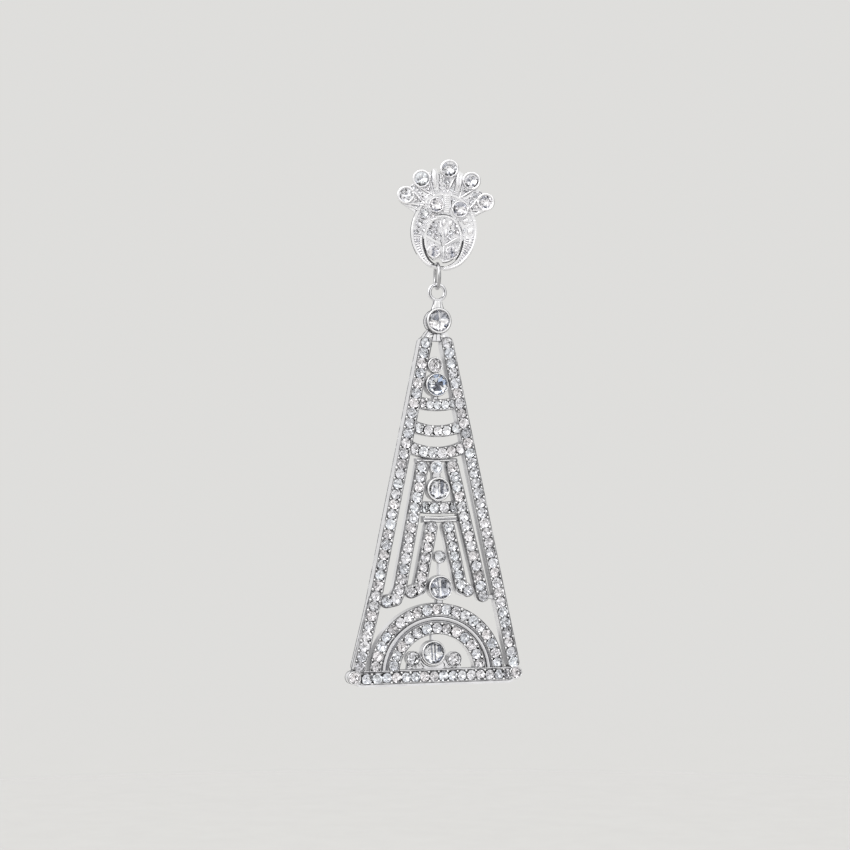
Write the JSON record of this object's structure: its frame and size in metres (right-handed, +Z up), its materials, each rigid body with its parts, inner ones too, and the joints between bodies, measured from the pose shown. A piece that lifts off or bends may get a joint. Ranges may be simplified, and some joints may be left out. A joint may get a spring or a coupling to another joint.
{
  "type": "clip-on drop earring",
  "caption": "Clip-on drop earring: a petalled crest over an oval ring, with a tall paved openwork triangle swinging below on a jump ring.",
  "frame": {"origin": "where the clip grips the ear lobe, half way between the back of the crest and the face of the clip's pad, at the middle of the pad", "axes": "+Z up, the drop hangs down along -Z; +Y from the viewer into the ear, so the face of the crest looks along -Y; +X to the viewer's right"},
  "size_m": [0.0292, 0.0132, 0.0862],
  "materials": {
    "plated_metal": "bright rhodium-coloured plate on cast white metal, lightly worn",
    "crystal": "clear cut glass with a foiled back"
  },
  "bodies": {
    "top": {"crest": "plated_metal", "ear_clip": "plated_metal", "stone_fan_1": "crystal", "stone_fan_2": "crystal", "stone_fan_3": "crystal", "stone_fan_4": "crystal", "stone_fan_5": "crystal", "stone_shoulder_left": "crystal", "stone_shoulder_right": "crystal", "stone_bud_left": "crystal", "stone_bud_right": "crystal"},
    "ring": {"jump_ring": "plated_metal"},
    "drop": {"drop_frame": "plated_metal", "stone_collar": "crystal", "stone_spire": "crystal", "stone_tower": "crystal", "stone_keystone": "crystal", "stone_arch": "crystal", "stone_finial": "crystal", "stone_pinnacle": "crystal", "stone_arch_left": "crystal", "stone_arch_right": "crystal", "stone_corner_left": "crystal", "stone_corner_right": "crystal"}
  },
  "joints": [
    {"name": "ring_swing", "type": "hinge", "parent": "top", "child": "ring", "pos_m": [-0.00113, -0.0033, -0.00914], "axis": [0.9736, 0, -0.2283], "range_deg": [-40, 40]},
    {"name": "drop_swing", "type": "hinge", "parent": "ring", "child": "drop", "pos_m": [-0.00113, -0.0033, -0.01259], "axis": [-0.1736, 0.9848, 0], "range_deg": [-60, 60]}
  ]
}
